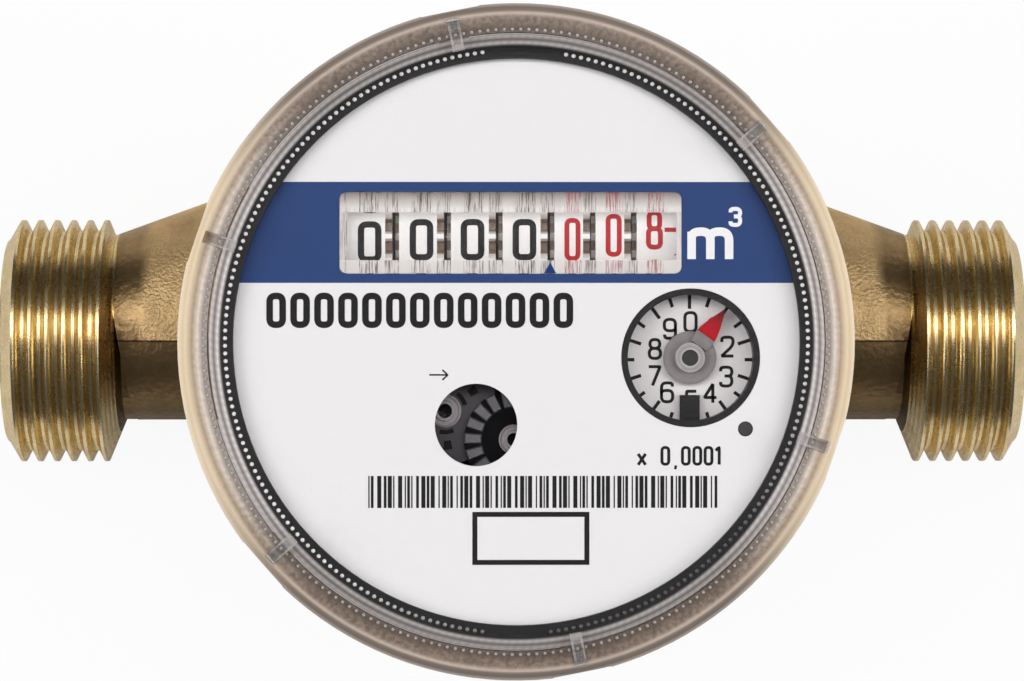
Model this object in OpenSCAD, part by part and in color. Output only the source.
// Single-jet water meter with a dry register that turns on its brass body.
// X runs along the pipe from inlet to outlet, Y points to the top of the dial, Z is up.
// The flat bottom of the body is at zero height and the impeller turns about the Z axis.

/* [Overall] */
// Length over the two threaded ends
length = 110; // [106:1:130]
// Height of the pipe axis above the flat bottom
axis_z = 15; // [15:0.5:18]
// Outer radius of the clear locking ring; the register and its seat grow and shrink with it
ring_r = 34; // [34:0.2:36]

/* [Pipe ends] */
// Outside diameter of the thread (26.44 is the standard three-quarter-inch pipe thread)
thread_d = 26.44; // [25:0.02:28]
// Distance from one thread crest to the next
thread_pitch = 1.814; // [1.6:0.002:2.2]
// Length of each threaded end, from its face to the last crest
thread_len = 11; // [8:0.1:12]
// Bore of each pipe end
bore_d = 16.5; // [15:0.1:17.5]
// Diameter of the jet channel between the pipe end and the impeller chamber
jet_d = 11.2; // [8:0.2:12]

/* [Impeller] */
// Radius of the impeller chamber
chamber_r = 20.5; // [19.5:0.1:21]
// Number of vanes on the impeller
vanes = 9; // [6:1:12]
// Thickness of one vane
vane_t = 1.2; // [0.8:0.1:2]

/* [Gear train] */
// Gear module of the reduction train
gear_m = 0.5; // [0.49:0.005:0.51]
// Width taken off each tooth so that the wheels run freely
backlash = 0.16; // [0.12:0.02:0.24]
// Radius of the steel posts the wheels run on
post_r = 0.6; // [0.5:0.05:0.7]

/* [Counter] */
// Radius of the figure rollers
roller_r = 8; // [7.8:0.05:8.05]
// Spacing of the rollers for whole cubic metres
black_pitch = 5.2; // [5.1:0.02:5.24]
// Width of the figure band on those rollers
black_face = 3.8; // [3.5:0.05:3.9]
// Spacing of the rollers for the decimal places
red_pitch = 4.13; // [4.05:0.01:4.16]
// Width of the figure band on those rollers
red_face = 2.87; // [2.6:0.01:2.92]
// Width of the drive tabs beside the figures
tab_w = 0.7; // [0.5:0.05:0.72]

/* [Dial] */
// Thickness of the dial plate
dial_t = 1; // [0.6:0.1:1.2]
// Radius of the round window over the flow wheels
flow_window_r = 4.13; // [3.6:0.1:4.6]
// Radius of the opening round the pointer
pointer_dial_r = 6.95; // [6.6:0.05:7.1]
// Length of the pointer from its axis to its tip
pointer_len = 6.1; // [5:0.1:6.2]

/* [Clear parts] */
// Thickness of the dome's window
window_t = 1.6; // [1.2:0.1:2]
// Number of hooks on the locking ring
hooks = 6; // [3:1:8]
// Width of one hook as an angle
hook_angle = 10; // [7:0.5:12]

/* [Hidden] */
$fn = 72;
fit = 0.06;
pin_r = 0.98;
magnet_r = 6.65;
magnet_in = 3.05;
magnet_h = 3.2;
magnet_gap = 0.05;
slack = 0.3;
thread_r = thread_d / 2;
bore_r = bore_d / 2;
end_x = length / 2;
neck_x = end_x - 12.4;
waist_r = 9.9;
parting_step = 0.45;

// heights of the wet side
floor_z = axis_z - 11;
plate_z = axis_z + 12;
plate_t = 4;
bowl_z = plate_z + 6.9;
flange_top = plate_z + 11;
flange_low = plate_z + 6.5;

// heights of the dry side
reg_z = bowl_z + slack;
reg_floor = reg_z + 1;
dial_z = reg_z + 20.8;
dial_low = dial_z - dial_t;
train_z = reg_floor + 3.4;
deck_z = reg_floor + 5;
deck_t = 1.2;
deck_top = deck_z + deck_t;
flow_z = deck_top + 5.8;

// tooth numbers of the train
spindle_teeth = 10;
a_teeth = 30;
a_pinion = 12;
b_teeth = 18;
b_pinion = 10;
c_teeth = 30;
c_pinion = 10;
pointer_teeth = 28;
idler_teeth = 11;
units_teeth = 20;
worm_starts = 2;

// wheel centres, each set by the pitch radii of the pair that meets there
a_dir = 224;
a_pos = gear_m * (spindle_teeth + a_teeth) / 2 * [cos(a_dir), sin(a_dir)];
b_dir = -22.5;
b_pos = a_pos + gear_m * (a_pinion + b_teeth) / 2 * [cos(b_dir), sin(b_dir)];
c_dir = 25;
c_pos = b_pos + gear_m * (b_pinion + c_teeth) / 2 * [cos(c_dir), sin(c_dir)];
p_dir = 24.9;
p_pos = c_pos + gear_m * (c_pinion + pointer_teeth) / 2 * [cos(p_dir), sin(p_dir)];

// angle of the second wheel that puts its gap against the first wheel's tooth
function meshed(z1, t1, z2, dir) = dir + 180 - 360 / z2 * (0.5 - (dir - t1) * z1 / 360);
spindle_turn = 0;
a_turn = meshed(spindle_teeth, spindle_turn, a_teeth, a_dir);
a_pinion_turn = 0;
b_turn = meshed(a_pinion, a_pinion_turn, b_teeth, b_dir);
b_pinion_turn = 0;
c_turn = meshed(b_pinion, b_pinion_turn, c_teeth, c_dir);
c_pinion_turn = 0;
pointer_turn = meshed(c_pinion, c_pinion_turn, pointer_teeth, p_dir);

// right-angle drive from the pointer shaft to the units roller
worm_r = 1.7;
worm_tip = 2.15;
worm_root = 1.1;
worm_lead = PI * gear_m * worm_starts;
worm_h = 4.2;
idler_w = 1;
idler_y = p_pos[1] + worm_r + gear_m * idler_teeth / 2;
roller_y = idler_y + gear_m * (idler_teeth + units_teeth) / 2;
roller_z = dial_low - 0.6 - roller_r;
idler_turn = 180 - 180 / idler_teeth;
units_turn = meshed(idler_teeth, idler_turn, units_teeth, 0);

// places of the rollers along their shaft
first_x = -16.97;
decimal_x = first_x + 4 * black_pitch;
units_x = decimal_x + 2 * red_pitch;
units_w = p_pos[0] - idler_w / 2 - 0.26 - units_x;
roller_x = [first_x, first_x + black_pitch, first_x + 2 * black_pitch, first_x + 3 * black_pitch,
    decimal_x, decimal_x + red_pitch, units_x];
roller_w = [black_face, black_face, black_face, black_face, red_face, red_face, units_w];
shaft_r = 1;

// transfer pinions between neighbouring rollers
tab_count = 20;
tab_pitch_r = 7.27;
transfer_teeth = 8;
transfer_r = tab_pitch_r * transfer_teeth / tab_count;
transfer_dist = tab_pitch_r + transfer_r;
transfer_dir = -35;
transfer_y = roller_y + transfer_dist * cos(transfer_dir);
transfer_z = roller_z + transfer_dist * sin(transfer_dir);
transfer_turn = meshed(tab_count, 0, transfer_teeth, transfer_dir);

// counter window in the dial
lens_x0 = first_x - 0.73;
lens_x1 = p_pos[0] - 0.92;
lens_y0 = roller_y - 3.8;
lens_y1 = roller_y + 4.4;
lens_corner = 0.7;
lens_gap = 0.05;
flow_x = -4.05;
flow_y = -8.3;
lamp_x = 22.9;
lamp_y = -8.7;
lamp_r = 0.76;

// frame that carries the counter
frame_left = first_x - 0.5;
frame_right = p_pos[0] + idler_w / 2 + 0.3;
frame_t = 1;
frame_back = transfer_y + 1.1;

// the cup goes round the far corner of that frame, and the cover and the seat go round the cup
cup_wall = 0.7;
corner_gap = 0.2;
far_corner = norm([max(frame_right, -frame_left) + frame_t, frame_back]);
cup_r = ceil(10 * (far_corner + corner_gap + cup_wall)) / 10;
dial_r = cup_r - 0.1;
bowl_r = cup_r + 0.7;
plate_r = cup_r - 2.2;
flange_r = cup_r + 2.8;
dome_in = cup_r + 1.1;
dome_r = dome_in + 0.8;

// all this is drawn round the counter, and then brought to the real radius of the ring
drawn_r = dome_r + 3.4;
ring_k = ring_r / drawn_r;

// flat outline of a gear; each tooth has a tapered flank in two steps
module gear_outline(teeth, module_size, turn = 0, thin = backlash, add = 1, ded = 1.15) {
    pitch_r = teeth * module_size / 2;
    tip_r = pitch_r + add * module_size;
    root_r = pitch_r - ded * module_size;
    step = 360 / teeth;
    half = (PI * module_size / 2 - thin) / 2;
    at_pitch = half / pitch_r * 180 / PI;
    at_tip = half * 0.5 / tip_r * 180 / PI;
    at_root = min(half * 1.3 / root_r * 180 / PI, step * 0.42);
    polygon([for (i = [0 : teeth - 1]) for (p = [[root_r, -at_root], [pitch_r, -at_pitch],
        [tip_r, -at_tip], [tip_r, at_tip], [pitch_r, at_pitch], [root_r, at_root]])
        p[0] * [cos(turn + i * step + p[1]), sin(turn + i * step + p[1])]]);
}

// a gear as a plain disc with teeth, standing on its lower face
module gear(teeth, h, turn = 0) {
    linear_extrude(h) gear_outline(teeth, gear_m, turn);
}

// lays a shape drawn in the XY plane across the pipe, with its height along X
module across() {
    rotate([90, 0, 90]) children();
}

// brings what is drawn round the counter to the real ring, from the seat upwards
module to_ring() {
    translate([0, 0, plate_z]) scale(ring_k) translate([0, 0, -plate_z]) children();
}

module at(p, z = 0) {
    translate([p[0], p[1], z]) children();
}

// points of the counter window's outline, set in by a gap
function window_outline(gap) = let (r = lens_corner - gap, x0 = lens_x0 + lens_corner,
    x1 = lens_x1 - lens_corner, y0 = lens_y0 + lens_corner, y1 = lens_y1 - lens_corner)
    [for (c = [[x1, y1, 0], [x0, y1, 90], [x0, y0, 180], [x1, y0, 270]]) for (a = [0 : 15 : 90])
        [c[0], c[1]] + r * [cos(c[2] + a), sin(c[2] + a)]];

// one threaded pipe end, drawn from its face towards the chamber
module pipe_end() {
    face_r = thread_r - 1.9;
    first = 1.6;
    crest = 0.34;
    root_r = thread_r - 0.64 * thread_pitch;
    turns = floor((thread_len - first) / thread_pitch);
    last = first + turns * thread_pitch;
    translate([-end_x, 0, axis_z]) rotate([0, 90, 0]) rotate_extrude() polygon(concat(
        [[0, 0], [face_r - 0.3, 0], [face_r, 0.3], [thread_r, first - crest / 2]],
        [for (k = [0 : turns - 1]) for (p = [[thread_r, crest / 2],
            [root_r, thread_pitch / 2 - crest / 2], [root_r, thread_pitch / 2 + crest / 2],
            [thread_r, thread_pitch - crest / 2]]) [p[0], first + k * thread_pitch + p[1]]],
        [[thread_r, last + crest / 2], [8.6, last + 2.1], [8.6, last + 9], [0, last + 9]]));
}

// neck between pipe end and chamber: its low side runs straight, its high side opens
module neck(r0, inset = 0) {
    opening = 4.1;
    reach = neck_x - 18.6;
    translate([-neck_x, 1.1, axis_z]) rotate([0, 0, atan(opening / reach)]) rotate([0, 90, 0])
        translate([0, 0, inset]) cylinder(h = reach - 2 * inset, r1 = r0, r2 = r0 + opening);
}

module half_body() {
    pipe_end();
    neck(waist_r);
    intersection() {
        neck(waist_r + parting_step, 0.5);
        translate([-end_x, 0, -10]) cube([end_x, 40, 60]);
    }
}

module waterway() {
    jet_x = neck_x + 1.5;
    jet_in = [16, 9.3];
    jet_run = jet_x - jet_in[0];
    translate([-end_x - 1, 0, axis_z]) rotate([0, 90, 0]) cylinder(h = end_x + 1 - jet_x + 0.5, r = bore_r);
    translate([-jet_x, 0, axis_z]) rotate([0, 0, atan2(jet_in[1], jet_run)]) rotate([0, 90, 0])
        cylinder(h = norm([jet_run, jet_in[1]]), d = jet_d);
}

module body() {
    foot_r = chamber_r;
    foot_in = foot_r - 5.5;
    foot_deep = 0.8;
    wall_r = chamber_r + 4.5;
    pivot_r = 3.2;
    rib_t = 1.5;
    seat_r = (plate_r + 2.5) * ring_k;
    rim_r = flange_r * ring_k;
    rim_low = plate_z + (flange_low - plate_z) * ring_k;
    rim_top = plate_z + (flange_top - plate_z) * ring_k;
    color("goldenrod") difference() {
        union() {
            half_body();
            mirror([1, 0, 0]) half_body();
            rotate_extrude() polygon([[0, foot_deep], [foot_in - 1, foot_deep], [foot_in, 0], [foot_r, 0],
                [foot_r + 1.6, 1], [wall_r - 0.3, floor_z], [wall_r, floor_z + 2], [wall_r, axis_z + 4],
                [seat_r, plate_z - 1], [seat_r, rim_low - 2], [seat_r + 0.5, rim_low],
                [rim_r, rim_low], [rim_r, rim_top - 0.7], [rim_r - 0.7, rim_top], [0, rim_top]]);
        }
        difference() {
            translate([0, 0, floor_z]) cylinder(h = plate_z, r = chamber_r);
            translate([0, 0, floor_z - 1]) cylinder(h = 2.6, r1 = pivot_r + 1.2, r2 = pivot_r);
            for (k = [0 : 3]) rotate(45 + 90 * k) translate([8, -rib_t / 2, floor_z - 1])
                cube([chamber_r - 9.5, rib_t, 2]);
        }
        to_ring() translate([0, 0, plate_z]) cylinder(h = plate_z, r = plate_r);
        to_ring() translate([0, 0, bowl_z]) cylinder(h = plate_z, r = bowl_r);
        waterway();
        mirror([1, 0, 0]) waterway();
        translate([0, 0, floor_z - 2]) cylinder(h = 5, r = pin_r + 0.02);
    }
}

module inlet_strainer() {
    rim_r = bore_r - 0.02;
    wall = 0.9;
    depth = 8.6;
    color("white") translate([-end_x + 1, 0, axis_z]) rotate([0, 90, 0]) difference() {
        cylinder(h = depth, r = rim_r);
        translate([0, 0, -1]) cylinder(h = depth - 0.2, r = rim_r - wall);
        for (k = [0 : 5]) rotate(60 * k) translate([4.4, 0, 0]) cylinder(h = 30, r = 1.5, $fn = 32);
        cylinder(h = 30, r = 1.8, $fn = 32);
    }
}

module impeller_pin() {
    color("lightgray") translate([0, 0, floor_z - 1.9])
        cylinder(h = plate_z - floor_z + 1.9 + 1.4 * ring_k, r = pin_r, $fn = 48);
}

module impeller() {
    low = floor_z + 2;
    hub_h = plate_z - slack - 1 - low;
    vane_r = chamber_r - 1.5;
    color("whitesmoke") difference() {
        union() {
            translate([0, 0, low]) cylinder(h = hub_h, r = 3.2);
            translate([0, 0, low + hub_h - 5]) cylinder(h = 5, r = magnet_r + 1.35);
            translate([0, 0, low + 2.4]) cylinder(h = 1, r = magnet_r + 1.35);
            for (k = [0 : vanes - 1]) rotate(360 / vanes * k) translate([2, -vane_t / 2, low + 2.8])
                cube([vane_r - 2, vane_t, hub_h - 7.2]);
        }
        translate([0, 0, low - 1]) cylinder(h = hub_h + 2, r = pin_r + fit, $fn = 48);
        translate([0, 0, low + hub_h - magnet_h - 0.2]) difference() {
            cylinder(h = 5, r = magnet_r + magnet_gap);
            translate([0, 0, -1]) cylinder(h = 7, r = magnet_in - magnet_gap);
        }
    }
}

module impeller_magnet() {
    top = plate_z - slack - 1;
    color("dimgray") translate([0, 0, top - magnet_h - 0.15]) difference() {
        cylinder(h = magnet_h, r = magnet_r);
        translate([0, 0, -1]) cylinder(h = magnet_h + 2, r = magnet_in);
    }
}

module pressure_plate() {
    well_r = 8.6;
    color("lightgray") to_ring() difference() {
        translate([0, 0, plate_z + 0.02]) cylinder(h = plate_t, r = plate_r - 0.1);
        translate([0, 0, plate_z + 1.9]) cylinder(h = plate_t, r = well_r);
        translate([0, 0, plate_z + 1]) rotate_extrude() translate([plate_r - 1.9, 0]) square([3, 2]);
        translate([0, 0, plate_z - 1]) cylinder(h = 2.5, r = (pin_r + 0.04) / ring_k, $fn = 48);
    }
}

module plate_seal() {
    color("black") to_ring() translate([0, 0, plate_z + 2]) rotate_extrude() translate([plate_r - 0.97, 0])
        circle(r = 0.92, $fn = 32);
}

module clamp_ring() {
    h = 2.5;
    in_r = plate_r - 5;
    color("goldenrod") to_ring() translate([0, 0, plate_z + plate_t + 0.05]) difference() {
        cylinder(h = h, r = plate_r - 0.05);
        translate([0, 0, -1]) cylinder(h = h + 2, r = in_r);
        for (k = [0 : 3]) rotate(90 * k) translate([in_r - 1, -2, h - 1.5]) cube([4, 4, 3]);
    }
}

deck_posts = [[-21, -11], [-3, -21], [14, -17], [25, -9]];

module register_base() {
    wall_in = cup_r - cup_wall;
    well_r = 8.1;
    well_low = plate_z + 2.3;
    color("dimgray") to_ring() difference() {
        union() {
            translate([0, 0, reg_z]) cylinder(h = dial_low - reg_z - 0.02, r = cup_r);
            translate([0, 0, well_low]) cylinder(h = reg_z - well_low + 1, r = well_r);
        }
        difference() {
            translate([0, 0, reg_floor]) cylinder(h = 40, r = wall_in);
            for (p = deck_posts) at(p, reg_floor - 1) cylinder(h = deck_z - reg_floor + 0.98, r = 1.4);
            at(c_pos, reg_floor - 1) cylinder(h = 1.6, r = 1.8);
            at(a_pos, reg_floor - 1) cylinder(h = 4, r = 1.8);
            at(p_pos, reg_floor - 1) cylinder(h = 1.6, r = 1.8);
        }
        translate([0, 0, well_low + 1]) cylinder(h = 20, r = well_r - 1.1);
        for (p = [a_pos, c_pos]) at(p, reg_z + 0.3) cylinder(h = 8, r = post_r + 0.02, $fn = 48);
        at(p_pos, reg_z + 0.3) cylinder(h = 8, r = 0.8 + fit, $fn = 48);
        translate([0, 0, well_low + 0.3]) cylinder(h = 8, r = post_r + 0.02, $fn = 48);
    }
}

module spindle() {
    low = plate_z + 3.6;
    hub_r = 1.5;
    color("silver") to_ring() difference() {
        union() {
            translate([0, 0, low]) cylinder(h = train_z + 1.4 - low, r = hub_r);
            translate([0, 0, low + 2.9]) cylinder(h = 1, r = 6.2);
            translate([0, 0, train_z - 0.2]) gear(spindle_teeth, 1.6, spindle_turn);
        }
        translate([0, 0, low - 1]) cylinder(h = 20, r = post_r + fit, $fn = 48);
    }
}

module spindle_magnet() {
    low = plate_z + 3.6;
    color("dimgray") to_ring() translate([0, 0, low]) difference() {
        cylinder(h = 2.88, r = 6.2);
        translate([0, 0, -1]) cylinder(h = 6, r = 1.52);
    }
}

module post(p, low, top) {
    at(p, low) cylinder(h = top - low, r = post_r, $fn = 48);
}

module gear_posts() {
    color("lightgray") to_ring() {
        post([0, 0], plate_z + 2.65, train_z + 2);
        post(a_pos, reg_z + 0.35, flow_z + 0.6);
        post(b_pos, deck_z + 0.3, flow_z + 0.6);
        post(c_pos, reg_z + 0.35, deck_top + 2.6);
    }
}

module gear_plate() {
    back = 1.4;
    color("gray") to_ring() difference() {
        intersection() {
            translate([0, 0, deck_z]) cylinder(h = deck_t, r = cup_r - 1.1);
            translate([-cup_r, back - 2 * cup_r, 0]) cube([2 * cup_r, 2 * cup_r, dial_z]);
        }
        translate([0, 0, deck_z - 1]) cylinder(h = 4, r = 2.2);
        at(a_pos, deck_z - 1) cylinder(h = 4, r = 2);
        at(b_pos, deck_z + 0.25) cylinder(h = 4, r = post_r + 0.02, $fn = 48);
        at(c_pos, deck_z - 1) cylinder(h = 4, r = 3.4);
        at(p_pos, deck_z - 1) cylinder(h = 4, r = 2.6);
    }
}

module wheel_a() {
    low = reg_floor + 3.05;
    color("silver") to_ring() at(a_pos) difference() {
        union() {
            translate([0, 0, low]) cylinder(h = flow_z + 1.7 - low, r = 1.6);
            translate([0, 0, train_z]) gear(a_teeth, 1.2, a_turn);
            translate([0, 0, flow_z]) gear(a_pinion, 1.5, a_pinion_turn);
            translate([0, 0, flow_z - 0.6]) cylinder(h = 0.6, r = 2.2);
        }
        translate([0, 0, low - 1]) cylinder(h = 30, r = post_r + fit, $fn = 48);
        for (k = [0 : 2]) rotate(120 * k) translate([4.6, 0, train_z - 1]) cylinder(h = 4, r = 1.3);
    }
}

module wheel_b() {
    low = deck_top + 0.1;
    color("silver") to_ring() at(b_pos) difference() {
        union() {
            translate([0, 0, low]) cylinder(h = flow_z + 1.7 - low, r = 1.6);
            translate([0, 0, low + 0.2]) gear(b_pinion, 1.8, b_pinion_turn);
            translate([0, 0, flow_z + 0.1]) gear(b_teeth, 1.3, b_turn);
        }
        translate([0, 0, low - 1]) cylinder(h = 30, r = post_r + fit, $fn = 48);
        translate([0, 0, flow_z + 0.7]) difference() {
            cylinder(h = 2, r = 3.35);
            translate([0, 0, -1]) cylinder(h = 4, r = 1.6);
        }
    }
}

module wheel_c() {
    low = reg_floor + 0.65;
    color("silver") to_ring() at(c_pos) difference() {
        union() {
            translate([0, 0, low]) cylinder(h = deck_top + 2.2 - low, r = 1.6);
            translate([0, 0, low + 0.2]) gear(c_pinion, 2.2, c_pinion_turn);
            translate([0, 0, deck_top + 0.5]) gear(c_teeth, 1.2, c_turn);
        }
        translate([0, 0, low - 1]) cylinder(h = 30, r = post_r + fit, $fn = 48);
        for (k = [0 : 2]) rotate(120 * k) translate([4.4, 0, deck_top]) cylinder(h = 4, r = 1.3);
    }
}

// cross-section of the two-start worm; the twist of the extrusion makes its threads
module worm_outline() {
    lobe = 360 / worm_starts;
    polygon([for (k = [0 : worm_starts - 1]) for (p = [[worm_root, -42], [worm_tip, -20],
        [worm_tip, 0], [worm_tip, 20], [worm_root, 42], [worm_root, 66], [worm_root, 90],
        [worm_root, 114]]) p[0] * [cos(k * lobe + p[1]), sin(k * lobe + p[1])]]);
}

module pointer_shaft() {
    turn = worm_h / worm_lead * 360;
    color("silver") to_ring() at(p_pos) {
        translate([0, 0, reg_z + 0.35]) cylinder(h = dial_z - 0.7 - reg_z - 0.35, r = 0.8, $fn = 48);
        translate([0, 0, reg_floor + 0.65]) cylinder(h = 3.2, r = 1.5);
        translate([0, 0, reg_floor + 1.2]) gear(pointer_teeth, 1.3, pointer_turn);
        translate([0, 0, roller_z - worm_h / 2]) rotate(90 + turn / 2)
            linear_extrude(worm_h, twist = turn, slices = 32, $fn = 24) worm_outline();
    }
}

module pointer_hub() {
    low = dial_z - 1.9;
    color("darkgray") to_ring() at(p_pos, low) difference() {
        union() {
            cylinder(h = 0.5, r = 2.67);
            cylinder(h = 1.1, r = 1.45);
        }
        translate([0, 0, -1]) cylinder(h = 4, r = 0.82, $fn = 48);
    }
}

// leaf-shaped hand; it rests on the hub disc and points one step past the top figure
module pointer() {
    low = dial_z - 1.38;
    color("red") to_ring() at(p_pos, low) rotate(54) linear_extrude(0.35) difference() {
        polygon([[1.5, -0.9], [2.4, -1.05], [3.2, -1], [4.2, -0.72], [5.2, -0.35], [pointer_len, 0],
            [5.2, 0.35], [4.2, 0.72], [3.2, 1], [2.4, 1.05], [1.5, 0.9]]);
        circle(r = 1.5, $fn = 48);
    }
}

module idler() {
    color("silver") to_ring() translate([p_pos[0] - idler_w / 2, idler_y, roller_z]) across() difference() {
        linear_extrude(idler_w) gear_outline(idler_teeth, gear_m, idler_turn, 0.22);
        translate([0, 0, -1]) cylinder(h = 4, r = 0.7 + fit, $fn = 48);
    }
}

module idler_pin() {
    color("lightgray") to_ring() translate([p_pos[0] - idler_w / 2 - 0.05, idler_y, roller_z]) across()
        cylinder(h = frame_right + frame_t - p_pos[0] + idler_w / 2, r = 0.7, $fn = 48);
}

// side plate of the counter, drawn as it is seen from the right
module frame_side() {
    difference() {
        polygon([[roller_y - 4, reg_floor + 0.02], [transfer_y + 0.8, reg_floor + 0.02],
            [frame_back, transfer_z + 1.4], [roller_y + 5.5, roller_z + 4.5],
            [roller_y + 3, dial_low - 0.05], [roller_y - 4, dial_low - 0.05],
            [idler_y - 1.6, roller_z + 1.8], [idler_y - 1.6, roller_z - 1.8],
            [roller_y - 4, roller_z - 3.4]]);
        translate([roller_y, roller_z]) circle(r = shaft_r + 0.02, $fn = 48);
        translate([transfer_y, transfer_z]) circle(r = shaft_r - 0.28, $fn = 48);
        translate([idler_y, roller_z]) circle(r = 0.72, $fn = 48);
    }
}

module counter_frame() {
    color("silver") to_ring() {
        translate([frame_left - frame_t, 0, 0]) across() linear_extrude(frame_t) frame_side();
        translate([frame_right, 0, 0]) across() linear_extrude(frame_t) frame_side();
        translate([frame_left - frame_t, roller_y - 2, reg_floor + 0.02])
            cube([frame_right - frame_left + 2 * frame_t, 9, 0.8]);
    }
}

module roller_shaft() {
    color("lightgray") to_ring() translate([frame_left - frame_t, roller_y, roller_z]) across()
        cylinder(h = frame_right - frame_left + 2 * frame_t, r = shaft_r, $fn = 48);
}

// figure roller: drum, twenty drive tabs beside it, lock disc on the side of the lower figure
module roller(i) {
    w = roller_w[i];
    translate([roller_x[i], roller_y, roller_z]) across() difference() {
        union() {
            cylinder(h = w, r = roller_r, $fn = 120);
            if (i < 6) translate([0, 0, w - 0.05])
                linear_extrude(tab_w + 0.05) gear_outline(tab_count, 2 * tab_pitch_r / tab_count, 0, 0.2);
            if (i < 6) translate([0, 0, w]) cylinder(h = tab_w + 0.1, r = 3);
            if (i == 6) translate([0, 0, w - 0.05])
                cylinder(h = p_pos[0] - 0.4 - roller_x[6] - w, r = 3);
            if (i == 6) translate([0, 0, p_pos[0] - 0.5 - roller_x[6]])
                linear_extrude(1) gear_outline(units_teeth, gear_m, units_turn, 0.2);
            if (i > 0) translate([0, 0, -0.4]) cylinder(h = 1, r = 5.6);
        }
        translate([0, 0, -2]) cylinder(h = w + 6, r = shaft_r + fit, $fn = 48);
    }
}

module roller_1() {
    color("white") to_ring() roller(0);
}

module roller_2() {
    color("white") to_ring() roller(1);
}

module roller_3() {
    color("white") to_ring() roller(2);
}

module roller_4() {
    color("white") to_ring() roller(3);
}

module roller_5() {
    color("white") to_ring() roller(4);
}

module roller_6() {
    color("white") to_ring() roller(5);
}

module roller_7() {
    color("white") to_ring() roller(6);
}

module pinion_shaft() {
    color("lightgray") to_ring() translate([frame_left - frame_t, transfer_y, transfer_z]) across()
        cylinder(h = frame_right - frame_left + 2 * frame_t, r = shaft_r - 0.3, $fn = 48);
}

// transfer pinion: its teeth reach over the tabs of one roller and the gap beside them
module transfer_pinion(i) {
    w = roller_x[i + 1] - roller_x[i] - roller_w[i] - 0.2;
    translate([roller_x[i] + roller_w[i] + 0.1, transfer_y, transfer_z]) across() difference() {
        linear_extrude(w) gear_outline(transfer_teeth, 2 * tab_pitch_r / tab_count, transfer_turn, 0.2, 0.8);
        translate([0, 0, -1]) cylinder(h = 4, r = shaft_r - 0.3 + fit, $fn = 48);
    }
}

module pinion_1() {
    color("silver") to_ring() transfer_pinion(0);
}

module pinion_2() {
    color("silver") to_ring() transfer_pinion(1);
}

module pinion_3() {
    color("silver") to_ring() transfer_pinion(2);
}

module pinion_4() {
    color("silver") to_ring() transfer_pinion(3);
}

module pinion_5() {
    color("silver") to_ring() transfer_pinion(4);
}

module pinion_6() {
    color("silver") to_ring() transfer_pinion(5);
}

module dial_plate() {
    color("white") to_ring() translate([0, 0, dial_low]) difference() {
        cylinder(h = dial_t, r = dial_r, $fn = 180);
        translate([0, 0, -1]) linear_extrude(4) polygon(window_outline(0));
        translate([flow_x, flow_y, -1]) cylinder(h = 4, r = flow_window_r);
        at(p_pos, -1) cylinder(h = 4, r = pointer_dial_r);
        translate([lamp_x, lamp_y, -1]) cylinder(h = 4, r = lamp_r, $fn = 32);
    }
}

module pointer_bezel() {
    low = dial_z - 2.2;
    color("black") to_ring() at(p_pos, low) {
        difference() {
            cylinder(h = 2.25, r = pointer_dial_r - 0.05);
            translate([0, 0, -1]) cylinder(h = 5, r = pointer_dial_r - 0.65);
        }
        translate([-1, -pointer_dial_r + 0.3, 0]) cube([2, 2.9, 0.6]);
    }
}

module pointer_dial() {
    color("white") to_ring() at(p_pos, dial_z - 2.8) difference() {
        cylinder(h = 0.58, r = pointer_dial_r - 0.05);
        translate([0, 0, -1]) cylinder(h = 3, r = 1.05, $fn = 48);
    }
}

// clear cover over the figures, bevelled along its two long sides
module counter_lens() {
    low = dial_low + lens_gap;
    top = dial_z + 0.5;
    fall = 0.4;
    low_bevel = 1.3;
    high_bevel = 1.6;
    spare = 1;
    color("white", 0.35) to_ring() intersection() {
        translate([0, 0, low]) linear_extrude(top) polygon(window_outline(lens_gap));
        translate([lens_x0 - spare, 0, 0]) across() linear_extrude(lens_x1 - lens_x0 + 2 * spare) polygon([
            [lens_y0 - spare, low - spare], [lens_y1 + spare, low - spare],
            [lens_y1 + spare, top - fall * (high_bevel + spare)], [lens_y1 - high_bevel, top],
            [lens_y0 + low_bevel, top], [lens_y0 - spare, top - fall * (low_bevel + spare)]]);
    }
}

// black ring that holds the dial on the cup
module dial_ring() {
    out_r = dome_in - 0.15;
    color("black") to_ring() rotate_extrude($fn = 120) polygon([
        [cup_r + 0.05, dial_low - 3], [out_r, dial_low - 3], [out_r, dial_z + 0.9],
        [dial_r - 0.3, dial_z + 0.9], [dial_r - 0.3, dial_z + 0.03], [cup_r + 0.05, dial_z + 0.03]]);
}

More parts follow.
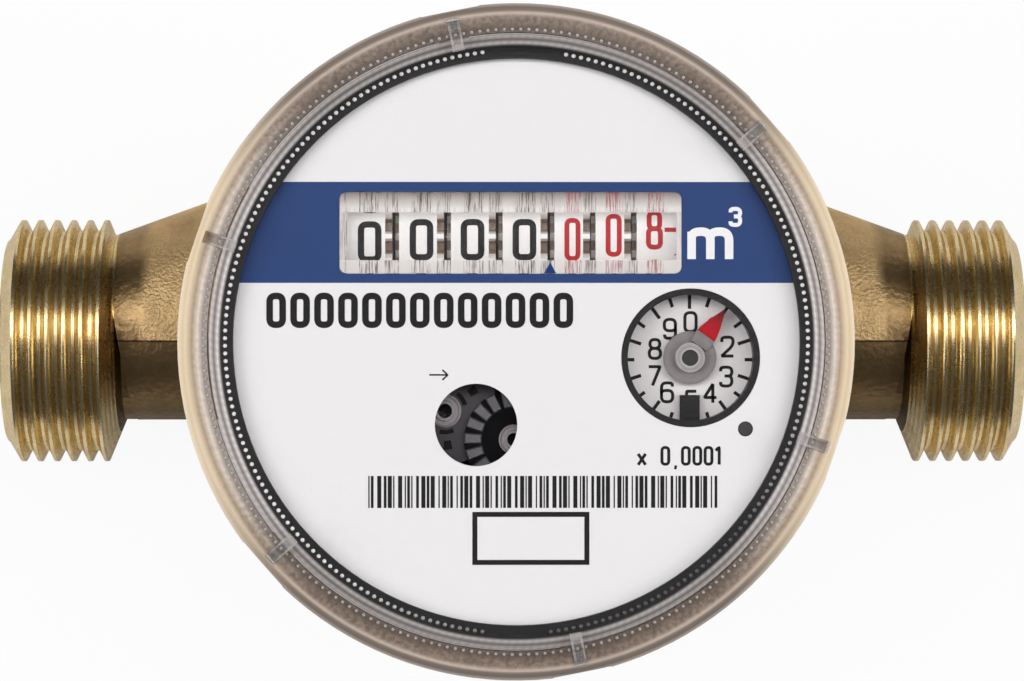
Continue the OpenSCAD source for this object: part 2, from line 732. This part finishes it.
module register_dome() {
    foot = flange_top + slack;
    top = dial_z + 4.4;
    color("white", 0.35) to_ring() rotate_extrude($fn = 120) polygon([
        [0, top - window_t], [dome_in, top - window_t], [dome_in, foot], [dome_r + 0.8, foot],
        [dome_r + 0.8, foot + 1.3], [dome_r, foot + 1.3], [dome_r, top - 1.8], [dome_r - 0.3, top - 1.5],
        [dome_r - 1.4, top - 1.5], [dome_r - 1.6, top], [0, top]]);
}

module snap_ring() {
    out_r = drawn_r;
    in_r = out_r - 1.1;
    grip_r = dome_r + 0.4;
    skirt = plate_z + 3;
    shoulder = flange_top + slack + 1.6;
    top = dial_z - 0.6;
    first_hook = 41.3;
    hook_t = 1.2;
    flat_w = 2 * out_r * sin(hook_angle / 2);
    flat_deep = 0.2;
    color("white", 0.35) to_ring() {
        difference() {
            rotate_extrude($fn = 120) polygon([[in_r, skirt], [out_r - 0.2, skirt], [out_r, skirt + 8],
                [out_r, top - 1], [out_r - 0.9, top], [grip_r, top], [grip_r, top - 1.2],
                [in_r, top - 1.6], [in_r, shoulder + 1.6], [dome_r + 0.35, shoulder + 1.2],
                [dome_r + 0.35, shoulder], [in_r, shoulder]]);
            for (k = [0 : hooks - 1]) rotate(first_hook + 360 / hooks * k)
                translate([out_r - flat_deep, -flat_w / 2, shoulder + 2]) cube([4, flat_w, 30]);
        }
        for (k = [0 : hooks - 1]) rotate(first_hook + 360 / hooks * k) {
            translate([flange_r - 1.1, -1.6, skirt + 0.4])
                cube([out_r - flange_r + 0.6, 3.2, flange_low - skirt - 0.4 - slack]);
            translate([grip_r, -hook_t / 2, top - 1]) cube([out_r - 1 - grip_r, hook_t, 5.8]);
            translate([dome_r - 1.2, -hook_t / 2, dial_z + 3.2]) cube([2.2, hook_t, 1]);
        }
    }
}

body();
inlet_strainer();
impeller_pin();
impeller();
impeller_magnet();
pressure_plate();
plate_seal();
clamp_ring();
register_base();
spindle();
spindle_magnet();
gear_posts();
gear_plate();
wheel_a();
wheel_b();
wheel_c();
pointer_shaft();
pointer_hub();
pointer();
idler();
idler_pin();
counter_frame();
roller_shaft();
roller_1();
roller_2();
roller_3();
roller_4();
roller_5();
roller_6();
roller_7();
pinion_shaft();
pinion_1();
pinion_2();
pinion_3();
pinion_4();
pinion_5();
pinion_6();
dial_plate();
pointer_bezel();
pointer_dial();
counter_lens();
dial_ring();
register_dome();
snap_ring();
